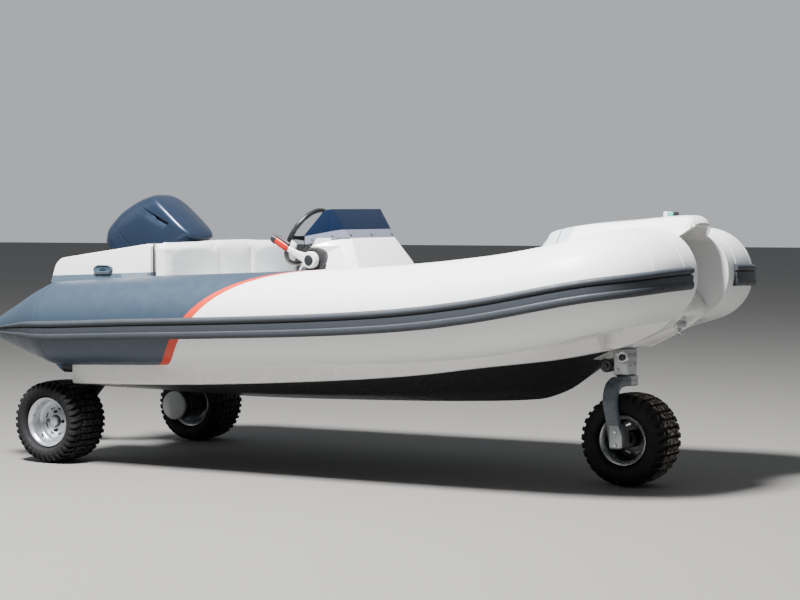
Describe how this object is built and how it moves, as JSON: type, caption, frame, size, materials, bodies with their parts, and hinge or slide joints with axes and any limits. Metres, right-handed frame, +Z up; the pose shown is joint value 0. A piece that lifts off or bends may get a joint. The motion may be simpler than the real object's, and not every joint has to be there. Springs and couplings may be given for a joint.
{
  "type": "amphibious rigid inflatable boat",
  "caption": "Amphibious rigid inflatable boat on three wheels, with a slotted bow, centre console, bench seat and a tilted outboard motor.",
  "frame": {"origin": "on the ground, under the middle of the boat's box as it parks", "axes": "+X to the bow, +Y to port, +Z up"},
  "size_m": [4.3437, 1.9898, 1.4778],
  "materials": {
    "tube_fabric": "coated tube fabric, satin, white forward and slate grey aft",
    "strake_rubber": "extruded slate rubber, satin",
    "white_moulding": "white gelcoat moulding, bottom painted black",
    "stainless": "stainless steel",
    "lamp_black": "lamp body with a green and a red lens",
    "black_plastic": "black moulded plastic",
    "upholstery": "light grey marine vinyl over foam",
    "tinted_screen": "dark blue tinted acrylic",
    "lever_paint": "white hub with a red and black grip",
    "tyre": "black knobbly tyre",
    "rim_alloy": "silver painted alloy",
    "grey_metal": "light grey anodised alloy",
    "leg_paint": "slate grey painted alloy",
    "motor_paint": "slate blue metallic paint",
    "propeller_alloy": "black painted alloy"
  },
  "bodies": {
    "boat": {"tube_starboard": "tube_fabric", "tube_port": "tube_fabric", "strake_starboard": "strake_rubber", "strake_port": "strake_rubber", "hull": "white_moulding", "transom": "white_moulding", "bow_ramp": "white_moulding", "bow_nose": "white_moulding", "bow_hood": "white_moulding", "bow_plate": "stainless", "bow_light": "lamp_black", "stern_pod_starboard": "white_moulding", "stern_pod_port": "white_moulding", "cleat_starboard": "black_plastic", "cleat_port": "black_plastic", "seat_base": "white_moulding", "seat_cushion": "upholstery", "seat_backrest": "upholstery", "console": "white_moulding", "windscreen": "tinted_screen", "helm_boss": "black_plastic", "throttle_disc": "black_plastic", "throttle_lever": "lever_paint", "wheel_motor_starboard": "grey_metal", "wheel_motor_port": "grey_metal", "rear_leg_starboard": "leg_paint", "rear_leg_port": "leg_paint", "stern_boss_starboard": "black_plastic", "stern_boss_port": "black_plastic", "front_bracket": "grey_metal", "leg_pin": "stainless", "clamp_bracket": "grey_metal"},
    "rear_wheel_starboard": {"rear_tyre_starboard": "tyre", "rear_rim_starboard": "rim_alloy"},
    "rear_wheel_port": {"rear_tyre_port": "tyre", "rear_rim_port": "rim_alloy"},
    "front_steering": {"front_fork": "leg_paint", "front_axle": "stainless"},
    "front_wheel": {"front_tyre": "tyre", "front_rim": "rim_alloy"},
    "helm": {"steering_wheel": "black_plastic"},
    "motor_swivel": {"swivel_bracket": "grey_metal"},
    "motor_head": {"motor_leg": "motor_paint", "gearcase": "motor_paint", "motor_pan": "motor_paint", "cowl": "motor_paint"},
    "screw": {"propeller": "propeller_alloy"}
  },
  "joints": [
    {"name": "rear_wheel_starboard_spin", "type": "hinge", "parent": "boat", "child": "rear_wheel_starboard", "pos_m": [-1.4957, -0.649, 0.2275], "axis": [0, 1, 0], "continuous": true},
    {"name": "rear_wheel_port_spin", "type": "hinge", "parent": "boat", "child": "rear_wheel_port", "pos_m": [-1.4957, 0.649, 0.2275], "axis": [0, 1, 0], "continuous": true},
    {"name": "front_steer", "type": "hinge", "parent": "boat", "child": "front_steering", "pos_m": [1.6843, 0, 0.5], "axis": [0, 0, 1], "range_deg": [-45, 45]},
    {"name": "front_wheel_spin", "type": "hinge", "parent": "front_steering", "child": "front_wheel", "pos_m": [1.7043, 0, 0.235], "axis": [0, 1, 0], "continuous": true},
    {"name": "helm_turn", "type": "hinge", "parent": "boat", "child": "helm", "pos_m": [-0.1257, -0.2, 1.25], "axis": [-0.866, 0, 0.5], "range_deg": [-540, 540]},
    {"name": "motor_tilt", "type": "hinge", "parent": "boat", "child": "motor_swivel", "pos_m": [-1.4057, 0, 0.89], "axis": [0, 1, 0], "range_deg": [-40, 25]},
    {"name": "motor_steer", "type": "hinge", "parent": "motor_swivel", "child": "motor_head", "pos_m": [-1.4532, 0, 0.92985], "axis": [0.6428, 0, 0.766], "range_deg": [-30, 30]},
    {"name": "propeller_spin", "type": "hinge", "parent": "motor_head", "child": "screw", "pos_m": [-2.09286, 0, 0.63114], "axis": [-0.766, 0, 0.6428], "continuous": true}
  ],
  "couplings": [
    {"joint": "helm_turn", "follows": "motor_steer", "ratio": -18},
    {"joint": "front_steer", "follows": "motor_steer", "ratio": -1.5}
  ]
}
